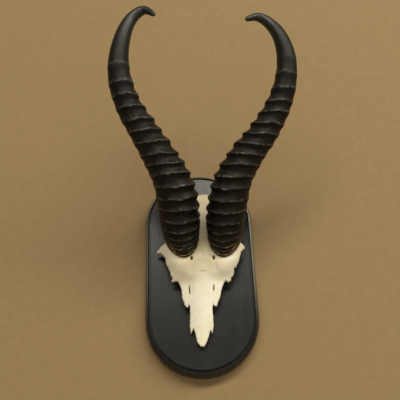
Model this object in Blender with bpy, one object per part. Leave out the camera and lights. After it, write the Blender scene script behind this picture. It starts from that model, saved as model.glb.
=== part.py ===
"""Springbok skull mount: a sawn skull cap with its two horns on a stained wooden plaque.

World frame in metres: the origin is the middle of the plaque's back, which lies on the
wall. +Z is up, +X is the viewer's right, and -Y comes out of the wall. Heights above the
wall are written as positive numbers and turned into -Y where a point is made.
"""

import math

import bmesh
import bpy
import numpy as np
from mathutils import Vector
from mathutils.geometry import delaunay_2d_cdt

MM = 0.001
GAP = 0.3 * MM  # air between pieces that touch

# Plaque: a flat face with round ends, a groove round it and a rounded border
FACE_HALF_WIDTH = 62.0 * MM
FACE_HALF_HEIGHT = 125.2 * MM
PLAQUE_THICKNESS = 18.0 * MM
FACE_CHAMFER = 0.5 * MM
GROOVE_WIDTH = 1.5 * MM
GROOVE_DEPTH = 3.2 * MM
BORDER_SUNK = 1.2 * MM  # the border's crown lies this far behind the face
BORDER_LIP = 0.9 * MM  # its short slope down into the groove
BORDER_WIDTH = 4.2 * MM
BORDER_DROP = 7.6 * MM
ARC_STEPS = 22  # segments in each round end

# Keyhole slot in the plaque's back, for the head of a wall screw
KEYHOLE_Z = 92.0 * MM
KEYHOLE_ENTRY = 10.0 * MM
KEYHOLE_SLOT = 5.0 * MM
KEYHOLE_RISE = 14.0 * MM
KEYHOLE_LIP = 3.6 * MM
KEYHOLE_DEPTH = 10.0 * MM

# Wood screws that hold the skull, put in from the back: x and z of each
SCREW_PLACES = {"skull_screw_upper": (7.0 * MM, 66.0 * MM), "skull_screw_lower": (2.5 * MM, -21.0 * MM)}
SCREW_RADIUS = 2.0 * MM
SCREW_HEAD_RADIUS = 4.0 * MM
SCREW_LENGTH = 27.0 * MM
SCREW_SUNK = 0.6 * MM
SCREW_SIDES = 14

# Horns: x, height above the wall, z and width of points along the middle, rim to tip, in mm
HORN_ROUTES = {
    "horn_left": [
        (-20.8, 38.7, 27.8, 41.2), (-22.8, 57, 47, 47.8), (-24.4, 76, 69, 49), (-30.7, 91, 90, 45.2),
        (-44.5, 104.5, 114.5, 39.7), (-61.2, 118, 140.5, 35), (-77.6, 131, 167.4, 31),
        (-86.9, 143, 194.7, 28.7), (-88.6, 152, 223.8, 24.4), (-82.7, 157, 256.9, 19.3),
        (-72.4, 159.5, 279.8, 15), (-57.5, 163, 288.8, 11), (-42.5, 169.5, 274.1, 5.4),
    ],
    "horn_right": [
        (31.3, 38.5, 26.4, 40.6), (33.6, 57, 46.5, 46.2), (37.7, 74, 67, 47), (45.1, 88.5, 87, 43.7),
        (61.9, 102.5, 110.5, 39.2), (83.9, 116, 135.5, 34.1), (101.1, 128, 160.8, 30.2),
        (111.6, 139.5, 187.1, 26.7), (114.8, 148.5, 216.6, 23), (109.4, 153.5, 245.2, 18.2),
        (98.6, 155.5, 264.8, 14.2), (84.3, 158.5, 274.1, 10.6), (67.3, 164.5, 265.5, 5.4),
    ],
}
HORN_SIDES = 15
HORN_DEPTH_RATIO = 1.12  # front to back over side to side, at the rim
RIM_LEAN = math.radians(18.0)  # the rim lies nearly on the forehead, tipped up by this
RIM_REACH = 45.0 * MM  # from here on the rings follow the horn
RING_SLANT = 0.85  # a leaning horn's rings stay nearly level: part of the lean they leave out
RING_CRESTS = {  # distances of the rings' crests from the rim, in mm
    "horn_left": [
        3.2, 6.2, 9.5, 13, 18.5, 24.8, 33.8, 45.8, 58.5, 72.5, 86.5, 99.5, 113, 129.5, 145.5, 161,
        178, 194, 210,
    ],
    "horn_right": [
        3.2, 6.5, 11, 16.5, 23, 30.8, 41.5, 55, 69.2, 83, 97.5, 111.5, 126.5, 141, 155.5, 171,
        185.5, 202.5, 220.5,
    ],
}
RING_FADE_START = 0.43  # parts of the length between which the rings sink away
RING_FADE_END = 0.67
RING_RELIEF = 3.0 * MM
RIM_RELIEF = 1.0 * MM
RING_SUNK = 0.4  # part of the relief by which the hollows lie inside the mean width
RING_BOLD_SIDE = math.radians(150.0)  # round from the outer side, past the front at 90
RING_FADE = 0.36  # the relief opposite that side loses twice this part
# From a crest to the next one: part of the spacing, part of the relief. The hollows are
# round and meet in narrow crests
RING_PROFILE = [(0.0, 1.0), (0.2, 0.53), (0.5, 0.0), (0.8, 0.53)]
FOOT_PINCH = 0.16  # part of its width that the front of a horn's foot loses towards its lowest point
PINCH_REACH = 38.0 * MM
SEAT_ROOM = 1.2 * MM  # clear room round a horn where it passes the bone
TIP_ROWS = 14
TIP_ROUNDING = 4.0 * MM  # the tip's last part is a small dome
TIP_END = 0.3 * MM  # from the tip's end to the last row of points

# Skull cap, seen from the front: x and z of its broken edge in mm, from the nose's tip round
# by the left to the top and back down the right
SKULL_LEFT_EDGE = [
    (-3.3, -99), (-7.3, -93.6), (-8.2, -86.7), (-10.7, -78), (-13.8, -84.1), (-15, -75.9),
    (-14.2, -64), (-13.9, -52.8), (-15.2, -49.8), (-16.6, -53.7), (-19.6, -51.7), (-23, -42),
    (-23.7, -31.2), (-25.7, -25.5), (-27.5, -21.7), (-31.8, -21.1), (-34.1, -21.8), (-35.8, -20.1),
    (-33.4, -17.9), (-36, -14.4), (-36.3, -10.5), (-38.6, -5.8), (-41.3, -0.2), (-42.5, 7.8),
    (-45, 12.3), (-48.8, 16.6), (-51.3, 16.6), (-52.7, 20.1), (-47.5, 24.5), (-42.5, 26.5),
    (-41.5, 33), (-39, 41), (-34.5, 48), (-29, 55), (-26.5, 64), (-24.5, 74), (-20, 84), (-12, 93),
    (-2, 99),
]
SKULL_RIGHT_EDGE = [
    (9, 101), (19, 98), (29, 91), (36, 81), (38.5, 71), (38, 62), (39, 54), (43, 47), (47.5, 40),
    (50, 31), (50.4, 23.6), (54.5, 20.5), (55.3, 17), (51.1, 11.6), (49.2, 6.2), (47.1, -1.3),
    (43.1, -8.4), (40.6, -9.8), (40.7, -14.3), (38.9, -18), (36.2, -20.5), (36.9, -22.6),
    (33.3, -24.9), (29.9, -23.3), (28.2, -25.3), (25.5, -30.8), (21.9, -43.8), (17.5, -53.9),
    (15.5, -53.3), (13.7, -50.5), (12.6, -56.3), (13, -66), (13.1, -75.9), (11.6, -84.8),
    (9.3, -81.1), (6, -90.3), (3.6, -95.9), (0.8, -99.8),
]
# Gaps between the nasal bones and their neighbours, as closed outlines in mm
NASAL_GAPS = [
    [(-15.6, -26.5), (-13.9, -26.5), (-12.6, -38.5), (-13.8, -39)],
    [(14.6, -28.5), (16.4, -28.5), (15.6, -36), (14.4, -36)],
]
# Height of the skull's middle line above the wall, and half the width of the part that
# comes down to the plaque, against z, all in mm
MIDDLE_HEIGHT = [
    (-101, 25), (-84, 28), (-60, 33), (-20, 41.5), (2, 46.5), (12, 44.5), (28, 40), (50, 35), (75, 30.5),
    (90, 27), (98, 23.5), (102, 20.5),
]
SEAT_HALF_WIDTH = [
    (-56, 6), (-48, 12), (-30, 18), (-12, 18), (12, 17), (28, 25), (45, 30), (72, 29), (90, 19), (99, 8),
]
BRIDGE_HALF_WIDTH = 13.0 * MM  # of the nasal bones, which drop by this much to their sides
BRIDGE_DROP = 3.0 * MM
BRIDGE_FALL = 0.35  # slope of the cheek's rest beside them
AXIS_X = 3.6 * MM  # the skull's middle line crosses z = 0 here
AXIS_LEAN = 0.05  # and leans to the right as it goes up
EDGE_THICKNESS = 2.2 * MM
FOREHEAD_THICKNESS = 4.5 * MM
SKULL_GRID = 6.2 * MM
FOOT_POINTS = 20
FOOT_STRETCH = 1.2  # height over width of a horn's foot, seen from the front
FOOT_STEP = 1.2 * MM  # the sheath's rim stands this far above the bone
FORAMEN_PLACES = [(-9.9 * MM, 3.6 * MM), (16.9 * MM, 2.8 * MM)]
FORAMEN_RADIUS = 1.8 * MM

COLOURS = {
    "plaque": ((0.026, 0.026, 0.028), 0.55, 0.0),
    "skull": ((0.76, 0.68, 0.48), 0.6, 0.0),
    "horn": ((0.022, 0.017, 0.013), 0.38, 0.0),
    "screw": ((0.55, 0.55, 0.53), 0.35, 1.0),
}


def clear_scene():
    for old in list(bpy.data.objects):
        bpy.data.objects.remove(old, do_unlink=True)


def material(name):
    """The Principled material of one kind of piece."""
    found = bpy.data.materials.get(name)
    if found:
        return found
    made = bpy.data.materials.new(name)
    made.use_nodes = True
    shader = made.node_tree.nodes["Principled BSDF"]
    colour, roughness, metallic = COLOURS[name]
    shader.inputs["Base Color"].default_value = (*colour, 1.0)
    shader.inputs["Roughness"].default_value = roughness
    shader.inputs["Metallic"].default_value = metallic
    return made


def add_object(name, mesh, finish, sharp_angle=30.0):
    mesh.materials.append(material(finish))
    mesh.shade_smooth()
    mesh.set_sharp_from_angle(angle=math.radians(sharp_angle))
    made = bpy.data.objects.new(name, mesh)
    bpy.context.scene.collection.objects.link(made)
    return made


def point(x, height, z):
    """A place given by its height above the wall."""
    return Vector((x, -height, z))


def between(table, value):
    """Reads a table of (place, size) pairs in mm at a place in metres."""
    places, sizes = zip(*table)
    return float(np.interp(value / MM, places, sizes)) * MM


def ease(low, high, value):
    part = min(max((value - low) / (high - low), 0.0), 1.0)
    return part * part * (3.0 - 2.0 * part)


def finished_mesh(name, work):
    """The mesh of a closed bmesh, with its faces pointing out."""
    bmesh.ops.recalc_face_normals(work, faces=work.faces)
    if work.calc_volume(signed=True) < 0.0:
        bmesh.ops.reverse_faces(work, faces=work.faces)
    mesh = bpy.data.meshes.new(name)
    work.to_mesh(mesh)
    work.free()
    return mesh


def loft(name, loops):
    """A skin over loops of equally many points, each end closed by one face."""
    work = bmesh.new()
    rows = [[work.verts.new(place) for place in loop] for loop in loops]
    count = len(rows[0])
    for lower, upper in zip(rows, rows[1:]):
        for i in range(count):
            j = (i + 1) % count
            work.faces.new((lower[i], lower[j], upper[j], upper[i]))
    work.faces.new(rows[0])
    work.faces.new(rows[-1])
    return finished_mesh(name, work)


def turned(name, place, profile, sides):
    """A round piece about a line along Y: the profile holds (radius, height above the wall)."""
    loops = []
    for radius, height in profile:
        loop = []
        for i in range(sides):
            angle = 2.0 * math.pi * i / sides
            x = place[0] + radius * math.cos(angle)
            loop.append(point(x, height, place[1] + radius * math.sin(angle)))
        loops.append(loop)
    return loft(name, loops)


def cutter(name, mesh):
    made = bpy.data.objects.new(name, mesh)
    bpy.context.scene.collection.objects.link(made)
    made.hide_render = True
    made.display_type = "WIRE"
    return made


def cut(piece, tool):
    modifier = piece.modifiers.new(tool.name, "BOOLEAN")
    modifier.operation = "DIFFERENCE"
    modifier.solver = "EXACT"
    modifier.object = tool


def capsule(grow, height):
    """One loop round the plaque, a distance outside the edge of its face."""
    radius = FACE_HALF_WIDTH + grow
    centre = FACE_HALF_HEIGHT - FACE_HALF_WIDTH
    loop = []
    for side, start in ((1.0, 0.0), (-1.0, math.pi)):
        for step in range(ARC_STEPS + 1):
            angle = start + math.pi * step / ARC_STEPS
            loop.append(point(radius * math.cos(angle), height, side * centre + radius * math.sin(angle)))
    return loop


def plaque_profile():
    """(distance outside the face's edge, height above the wall), from the face to the back."""
    floor = PLAQUE_THICKNESS - GROOVE_DEPTH
    crown = PLAQUE_THICKNESS - BORDER_SUNK
    inner = 0.3 * MM
    outer = inner + GROOVE_WIDTH
    profile = [(-FACE_CHAMFER, PLAQUE_THICKNESS), (0.0, PLAQUE_THICKNESS - FACE_CHAMFER)]
    profile += [(inner, floor), (outer, floor), (outer + 0.3 * BORDER_LIP, crown - 0.8 * MM)]
    for degrees in (0, 26, 50, 72, 90):
        angle = math.radians(degrees)
        out = outer + BORDER_LIP + BORDER_WIDTH * math.sin(angle)
        profile.append((out, crown - BORDER_DROP * (1.0 - math.cos(angle))))
    edge = outer + BORDER_LIP + BORDER_WIDTH
    profile += [(edge, 0.7 * MM), (edge - 0.7 * MM, 0.0)]
    return profile


def keyhole_loop(entry_radius, slot_radius, height):
    """The keyhole's outline: a round entry with a narrower slot rising from it."""
    half = math.asin(slot_radius / entry_radius)
    loop = []
    for step in range(13):
        angle = math.pi / 2.0 + half + (2.0 * math.pi - 2.0 * half) * step / 12
        z = KEYHOLE_Z + entry_radius * math.sin(angle)
        loop.append(point(entry_radius * math.cos(angle), height, z))
    for step in range(9):
        angle = math.pi * step / 8
        top = KEYHOLE_Z + KEYHOLE_RISE + slot_radius * math.sin(angle)
        loop.append(point(slot_radius * math.cos(angle), height, top))
    return loop


def build_plaque():
    mesh = loft("plaque", [capsule(grow, height) for grow, height in plaque_profile()])
    plaque = add_object("plaque", mesh, "plaque")
    entry = KEYHOLE_ENTRY / 2.0
    slot = KEYHOLE_SLOT / 2.0
    mouth = [keyhole_loop(entry, slot, height) for height in (-1.0 * MM, KEYHOLE_LIP + 0.4 * MM)]
    cut(plaque, cutter("cut_keyhole_mouth", loft("cut_keyhole_mouth", mouth)))
    # Behind its lip the slot is nearly as wide as the entry, so that a screw's head can rise in it
    pocket = [keyhole_loop(entry, entry * 0.96, height) for height in (KEYHOLE_LIP, KEYHOLE_DEPTH)]
    cut(plaque, cutter("cut_keyhole_pocket", loft("cut_keyhole_pocket", pocket)))
    for name, place in SCREW_PLACES.items():
        wide = SCREW_HEAD_RADIUS + GAP
        thin = SCREW_RADIUS + GAP
        taper = SCREW_SUNK + wide - thin
        profile = [(wide, -1.0 * MM), (wide, SCREW_SUNK), (thin, taper)]
        profile.append((thin, PLAQUE_THICKNESS + 1.0 * MM))
        hole = "cut_hole_" + name
        cut(plaque, cutter(hole, turned(hole, place, profile, SCREW_SIDES)))
    return plaque


def build_screw(name, place):
    head = SCREW_SUNK + SCREW_HEAD_RADIUS - SCREW_RADIUS
    end = SCREW_SUNK + SCREW_LENGTH
    profile = [(SCREW_HEAD_RADIUS, SCREW_SUNK), (SCREW_RADIUS, head), (SCREW_RADIUS, end - 5.0 * MM)]
    profile.append((0.3 * MM, end))
    screw = add_object(name, turned(name, place, profile, SCREW_SIDES), "screw")
    for turn, label in ((0.0, "wide"), (math.pi / 2.0, "tall")):
        work = bmesh.new()
        bmesh.ops.create_cube(work, size=1.0)
        for vert in work.verts:
            x, z = vert.co.x * 4.4 * MM, vert.co.z * 0.9 * MM
            across, up = x * math.cos(turn) - z * math.sin(turn), x * math.sin(turn) + z * math.cos(turn)
            vert.co = point(place[0] + across, SCREW_SUNK + vert.co.y * 3.2 * MM, place[1] + up)
        recess = "cut_recess_" + label + "_" + name
        cut(screw, cutter(recess, finished_mesh(recess, work)))
    return screw


class HornRoute:
    """A smooth curve through a horn's points, read by distance from the rim."""

    def __init__(self, points):
        self.side = math.copysign(1.0, points[0][0])
        knots = np.array([(x, -height, z, width) for x, height, z, width in points]) * MM
        ends = np.vstack([2.0 * knots[0] - knots[1], knots, 2.0 * knots[-1] - knots[-2]])
        rows = [knots[0]]
        for a, b, c, d in zip(ends, ends[1:], ends[2:], ends[3:]):
            for part in np.linspace(0.0, 1.0, 33)[1:]:
                blend = 2.0 * b + (c - a) * part + (2.0 * a - 5.0 * b + 4.0 * c - d) * part**2
                rows.append(0.5 * (blend + (3.0 * b - a - 3.0 * c + d) * part**3))
        self.rows = np.array(rows)
        steps = np.linalg.norm(np.diff(self.rows[:, :3], axis=0), axis=1)
        self.distance = np.concatenate([[0.0], np.cumsum(steps)])
        self.length = float(self.distance[-1])

    def read(self, distance):
        """Middle, direction and width at a distance from the rim."""
        def row(at):
            return np.array([np.interp(at, self.distance, self.rows[:, k]) for k in range(4)])

        here = row(distance)
        ahead = row(min(distance + 2.0 * MM, self.length)) - row(max(distance - 2.0 * MM, 0.0))
        return Vector(here[:3]), Vector(ahead[:3]).normalized(), float(here[3])


def ring_relief(distance, length):
    """How far the rings stand out at a distance from the rim."""
    full = RIM_RELIEF + (RING_RELIEF - RIM_RELIEF) * ease(8.0 * MM, RIM_REACH, distance)
    return full * (1.0 - 0.8 * ease(RING_FADE_START * length, RING_FADE_END * length, distance))


def horn_rows(length, crests):
    """(distance, share of the relief) of each row of points along a horn, rim to tip."""
    rows = [(0.0, RING_SUNK)]
    for low, high in zip(crests, crests[1:]):
        rows += [(low + part * (high - low), share) for part, share in RING_PROFILE]
    last = crests[-1]
    rows.append((last, 1.0))
    for step in range(TIP_ROWS):
        part = (step + 0.5) / TIP_ROWS
        rows.append((last + (length - last) * (1.0 - (1.0 - part) ** 1.35), RING_SUNK))
    rows.append((length - TIP_END, RING_SUNK))
    return rows


def ring_plane(along, distance, length):
    """The direction that the ring at this distance faces."""
    slant = RING_SLANT * (1.0 - ease(0.5 * length, 0.8 * length, distance))
    level = Vector((along.x * (1.0 - slant), along.y, along.z)).normalized()
    rim = Vector((0.0, -math.cos(RIM_LEAN), math.sin(RIM_LEAN)))
    return rim.lerp(level, ease(0.0, RIM_REACH, distance)).normalized()


def foot_pinch(forward):
    """Part of its width that a horn's foot keeps: forward is 1 at its front, -1 behind."""
    return 1.0 - FOOT_PINCH * ease(-0.2, 1.0, forward)


def horn_loop(route, distance, share, grow=0.0):
    """One loop of points round a horn. Its rings stand out most on the front and inner side."""
    middle, along, width = route.read(distance)
    outer = along.cross(Vector((0.0, 1.0, 0.0))).normalized() * -route.side
    front = along.cross(outer) * -route.side
    plane = ring_plane(along, distance, route.length)
    depth = 1.0 + (HORN_DEPTH_RATIO - 1.0) * (1.0 - distance / route.length)
    relief = ring_relief(distance, route.length)
    full_width = ease(0.0, PINCH_REACH, distance)
    rest = min((route.length - distance) / TIP_ROUNDING, 1.0)
    dome = math.sqrt(1.0 - (1.0 - rest) ** 2)
    loop = []
    for i in range(HORN_SIDES):
        angle = 2.0 * math.pi * i / HORN_SIDES
        strength = 1.0 - RING_FADE * (1.0 - math.cos(angle - RING_BOLD_SIDE))
        radius = (0.5 * width + relief * strength * (share - RING_SUNK)) * dome + grow
        kept = full_width + (1.0 - full_width) * foot_pinch(math.sin(angle))
        reach = outer * (radius * kept * math.cos(angle)) + front * (radius * depth * math.sin(angle))
        slide = -reach.dot(plane) / along.dot(plane)
        loop.append(middle + reach + along * slide)
    return loop


def build_horn(name, points):
    route = HornRoute(points)
    rows = horn_rows(route.length, [crest * MM for crest in RING_CRESTS[name]])
    loops = [horn_loop(route, distance, share) for distance, share in rows]
    return add_object(name, loft(name, loops), "horn", sharp_angle=50.0)


def horn_cutter(name, points):
    """The room that a horn's lower part takes in the skull, with the gap round it."""
    route = HornRoute(points)
    places = [step * 9.0 * MM for step in range(10)]
    loops = [horn_loop(route, distance, 1.0, grow=SEAT_ROOM) for distance in places]
    down = ring_plane(route.read(0.0)[1], 0.0, route.length) * GAP
    loops[0] = [place - down for place in loops[0]]
    return cutter(name, loft(name, loops))


def axis_x(z):
    return AXIS_X + AXIS_LEAN * z


def horn_foot(points):
    """Middle of a horn's foot, its half width and its height above the wall."""
    foot_x, height, foot_z, width = (value * MM for value in points[0])
    return foot_x, foot_z, 0.5 * width, height


def foot_loop(points, share):
    """Places round a horn's foot, seen from the front: share 1 is under its rim."""
    foot_x, foot_z, half, _ = horn_foot(points)
    loop = []
    for step in range(FOOT_POINTS):
        angle = 2.0 * math.pi * step / FOOT_POINTS
        across = half * foot_pinch(-math.sin(angle)) * math.cos(angle)
        loop.append((foot_x + share * across, foot_z + share * half * FOOT_STRETCH * math.sin(angle)))
    return loop


def towards_feet(x, z, front):
    """Brings the bone's front up or down to the plane of a rim that is near."""
    for points in HORN_ROUTES.values():
        foot_x, foot_z, half, height = horn_foot(points)
        rise = (z - foot_z) / (half * FOOT_STRETCH)
        away = math.hypot((x - foot_x) / (half * foot_pinch(-rise)), rise)
        plane = height - (z - foot_z) * math.tan(RIM_LEAN)
        near = 1.0 - ease(1.0, 1.5, away)
        front += (plane + (FOOT_STEP if away < 0.98 else -FOOT_STEP) - front) * near
    return front


def edge_distance(x, z, outline):
    """Distance from a place to the skull's broken edge."""
    here = np.array((x, z))
    starts = outline
    runs = np.roll(outline, -1, axis=0) - starts
    parts = np.clip(((here - starts) * runs).sum(1) / (runs**2).sum(1), 0.0, 1.0)
    return float(np.linalg.norm(starts + runs * parts[:, None] - here, axis=1).min())


def skull_heights(x, z, outline):
    """Heights above the wall of the skull's front and of its back at one place."""
    side = abs(x - axis_x(z))
    front = between(MIDDLE_HEIGHT, z)
    if z < -18.0 * MM:
        # The nasal bones are a rounded bridge with the cheek's rest falling away beside it
        beside = max(side - BRIDGE_HALF_WIDTH, 0.0)
        front -= BRIDGE_DROP * min(side / BRIDGE_HALF_WIDTH, 1.0) ** 2 + BRIDGE_FALL * beside
    else:
        front -= 15.0 * MM * ease(17.0 * MM, 56.0 * MM, side)
        front -= 6.0 * MM * ease(20.0 * MM, 36.0 * MM, side) * ease(50.0 * MM, 66.0 * MM, z)
    front = towards_feet(x, z, front)
    edge = edge_distance(x, z, outline)
    thickness = EDGE_THICKNESS + (FOREHEAD_THICKNESS - EDGE_THICKNESS) * ease(2.0 * MM, 14.0 * MM, edge)
    seat = PLAQUE_THICKNESS + GAP
    front = max(front - 0.6 * MM * (1.0 - ease(0.0, 2.4 * MM, edge)), seat + EDGE_THICKNESS)
    # Inside the seat's width the bone comes down to the plaque. Outside it, it's a thin shelf
    width = between(SEAT_HALF_WIDTH, z)
    outside = ease(width, width + 5.0 * MM, side)
    if z < SEAT_HALF_WIDTH[0][0] * MM:
        outside = 1.0
    back = seat + (max(front - thickness, seat) - seat) * outside
    return front, min(back, front - 1.2 * MM)


def skull_plan(outline):
    """Triangles over the outline, with points along its edges, inside them and on a grid."""
    places = [tuple(place) for place in outline]
    edges = [(i, (i + 1) % len(outline)) for i in range(len(outline))]
    gaps = [np.array(gap) * MM for gap in NASAL_GAPS]
    for gap in gaps:
        first = len(places)
        places += [tuple(place) for place in gap]
        edges += [(first + i, first + (i + 1) % len(gap)) for i in range(len(gap))]
    feet = []
    for points in HORN_ROUTES.values():
        feet += foot_loop(points, 0.9) + foot_loop(points, 1.06)
    for place in feet:
        if inside(*place, outline) and edge_distance(*place, outline) > 1.0 * MM:
            places.append(place)
    low = outline.min(axis=0)
    high = outline.max(axis=0)
    rows = int((high[1] - low[1]) / (SKULL_GRID * 0.866)) + 1
    for row in range(rows):
        z = low[1] + row * SKULL_GRID * 0.866
        x = low[0] + (SKULL_GRID / 2.0 if row % 2 else 0.0)
        while x < high[0]:
            clear = min([edge_distance(x, z, outline)] + [edge_distance(x, z, gap) for gap in gaps])
            clear = min([clear] + [2.0 * math.dist((x, z), place) for place in feet])
            if clear > 2.4 * MM and inside(x, z, outline) and not any(inside(x, z, gap) for gap in gaps):
                places.append((x, z))
            x += SKULL_GRID
    points = [Vector(place) for place in places]
    found = delaunay_2d_cdt(points, edges, [], 1, 1e-7)
    kept = []
    for face in found[2]:
        centre = sum((found[0][i] for i in face), Vector((0.0, 0.0))) / len(face)
        if inside(centre.x, centre.y, outline) and not any(inside(centre.x, centre.y, gap) for gap in gaps):
            kept.append(face)
    return found[0], kept


def inside(x, z, outline):
    """Whether a place is inside a closed outline, by counting crossings to its right."""
    crossings = 0
    for (x1, z1), (x2, z2) in zip(outline, np.roll(outline, -1, axis=0)):
        if (z1 > z) != (z2 > z) and x < x1 + (z - z1) * (x2 - x1) / (z2 - z1):
            crossings += 1
    return crossings % 2 == 1


def build_skull():
    outline = np.array(SKULL_LEFT_EDGE + SKULL_RIGHT_EDGE) * MM
    plan, faces = skull_plan(outline)
    work = bmesh.new()
    front = []
    back = []
    for place in plan:
        high, low = skull_heights(place.x, place.y, outline)
        front.append(work.verts.new(point(place.x, high, place.y)))
        back.append(work.verts.new(point(place.x, low, place.y)))
    uses = {}
    for face in faces:
        work.faces.new([front[i] for i in face])
        work.faces.new([back[i] for i in reversed(face)])
        for i, j in zip(face, face[1:] + face[:1]):
            uses[(i, j)] = True
    for i, j in uses:
        if (j, i) not in uses:
            work.faces.new((front[j], front[i], back[i], back[j]))
    loose = [vert for vert in work.verts if not vert.link_faces]
    bmesh.ops.delete(work, geom=loose, context="VERTS")
    skull = add_object("skull", finished_mesh("skull", work), "skull", sharp_angle=55.0)
    for name, points in HORN_ROUTES.items():
        cut(skull, horn_cutter("cut_seat_" + name, points))
    for name, place in SCREW_PLACES.items():
        bore = "cut_bore_" + name
        reach = SCREW_SUNK + SCREW_LENGTH + 1.0 * MM
        profile = [(SCREW_RADIUS + GAP, PLAQUE_THICKNESS - 2.0 * MM), (SCREW_RADIUS + GAP, reach)]
        cut(skull, cutter(bore, turned(bore, place, profile, SCREW_SIDES)))
    for index, place in enumerate(FORAMEN_PLACES):
        pit = "cut_foramen_%d" % index
        profile = [(FORAMEN_RADIUS * 0.8, 41.0 * MM), (FORAMEN_RADIUS, 56.0 * MM)]
        cut(skull, cutter(pit, turned(pit, place, profile, 8)))
    return skull


clear_scene()
build_plaque()
build_skull()
for horn_name, horn_points in HORN_ROUTES.items():
    build_horn(horn_name, horn_points)
for screw_name, screw_place in SCREW_PLACES.items():
    build_screw(screw_name, screw_place)
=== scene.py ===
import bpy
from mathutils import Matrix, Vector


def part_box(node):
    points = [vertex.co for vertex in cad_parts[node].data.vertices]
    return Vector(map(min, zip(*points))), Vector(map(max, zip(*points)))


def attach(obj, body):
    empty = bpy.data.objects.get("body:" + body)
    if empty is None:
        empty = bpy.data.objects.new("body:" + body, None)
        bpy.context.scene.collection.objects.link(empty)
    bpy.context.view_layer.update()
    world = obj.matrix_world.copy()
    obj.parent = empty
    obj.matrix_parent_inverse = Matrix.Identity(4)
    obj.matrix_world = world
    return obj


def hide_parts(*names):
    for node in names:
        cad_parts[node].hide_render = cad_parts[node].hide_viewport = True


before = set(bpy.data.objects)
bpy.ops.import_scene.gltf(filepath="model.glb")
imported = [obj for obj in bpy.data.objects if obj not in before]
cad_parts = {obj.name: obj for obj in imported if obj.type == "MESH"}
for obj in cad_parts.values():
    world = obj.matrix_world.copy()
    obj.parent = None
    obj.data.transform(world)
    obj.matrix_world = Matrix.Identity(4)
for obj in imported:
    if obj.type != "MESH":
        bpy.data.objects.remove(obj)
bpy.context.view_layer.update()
print("solid nodes:", ", ".join(sorted(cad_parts)))

# %% [markdown]
# ## The photograph's view
# The mount hangs a little above the viewer's eyes, so the camera looks up at it. The round
# ends of the board tell how far: a circle seen from below turns into a known ellipse. The
# camera can be turned by three angles, but here its three directions are worked out from
# the pitch and the roll, and put into a matrix as columns, which leaves no doubt on order.
# %% Camera
import math

import bmesh
import bpy
import numpy as np
from mathutils import Matrix, Vector
from mathutils.geometry import delaunay_2d_cdt

MM = 0.001
CAMERA_PLACE = Vector((0.0031, -0.7216, -0.2628))
CAMERA_PITCH = math.radians(26.91)
CAMERA_ROLL = math.radians(2.34)
CAMERA_LENS = 54.0

forward = Vector((0.0, math.cos(CAMERA_PITCH), math.sin(CAMERA_PITCH)))
level_up = Vector((0.0, -math.sin(CAMERA_PITCH), math.cos(CAMERA_PITCH)))
level_right = Vector((1.0, 0.0, 0.0))
right = level_right * math.cos(CAMERA_ROLL) - level_up * math.sin(CAMERA_ROLL)
up = level_right * math.sin(CAMERA_ROLL) + level_up * math.cos(CAMERA_ROLL)

scene = bpy.context.scene
camera_data = bpy.data.cameras.new("camera")
camera_data.lens = CAMERA_LENS
camera_data.sensor_width = 36.0
camera = bpy.data.objects.new("camera", camera_data)
scene.collection.objects.link(camera)
turn = Matrix((right, up, -forward)).transposed()
camera.matrix_world = Matrix.Translation(CAMERA_PLACE) @ turn.to_4x4()
scene.camera = camera
print("camera looks up by %.1f degrees with a %.0f mm lens" % (math.degrees(CAMERA_PITCH), CAMERA_LENS))

# %% [markdown]
# ## Sums on sockets
# Both a material and a Geometry Nodes tree are sums on sockets. Nodes could be placed and
# linked one by one, but a page of that hides the sum. So one small class wraps a socket and
# gives it the usual signs: plain numbers go through Math nodes and vectors through Vector
# Math. A second class holds the tree and adds every other node in one way.
# %% Wire and Bench


def is_vector(term):
    """Whether a term of a sum is a place or a direction, not a plain number."""
    if isinstance(term, Wire):
        return term.socket.type == "VECTOR"
    return isinstance(term, (tuple, Vector))


class Wire:
    """A socket that can be added, subtracted, multiplied, divided, raised and compared."""

    def __init__(self, bench, socket):
        self.bench = bench
        self.socket = socket

    def sum(self, operation, *terms):
        if any(is_vector(term) for term in terms):
            return self.bench.vector(operation, *terms)
        return self.bench.number(operation, *terms)

    def __add__(self, other):
        return self.sum("ADD", self, other)

    def __radd__(self, other):
        return self.sum("ADD", other, self)

    def __sub__(self, other):
        return self.sum("SUBTRACT", self, other)

    def __rsub__(self, other):
        return self.sum("SUBTRACT", other, self)

    def __mul__(self, other):
        return self.sum("MULTIPLY", self, other)

    def __rmul__(self, other):
        return self.sum("MULTIPLY", other, self)

    def __truediv__(self, other):
        return self.sum("DIVIDE", self, other)

    def __pow__(self, other):
        return self.sum("POWER", self, other)

    def __gt__(self, other):
        return self.sum("GREATER_THAN", self, other)

    def __neg__(self):
        return self * -1.0

    def __abs__(self):
        return self.sum("ABSOLUTE", self)


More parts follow.
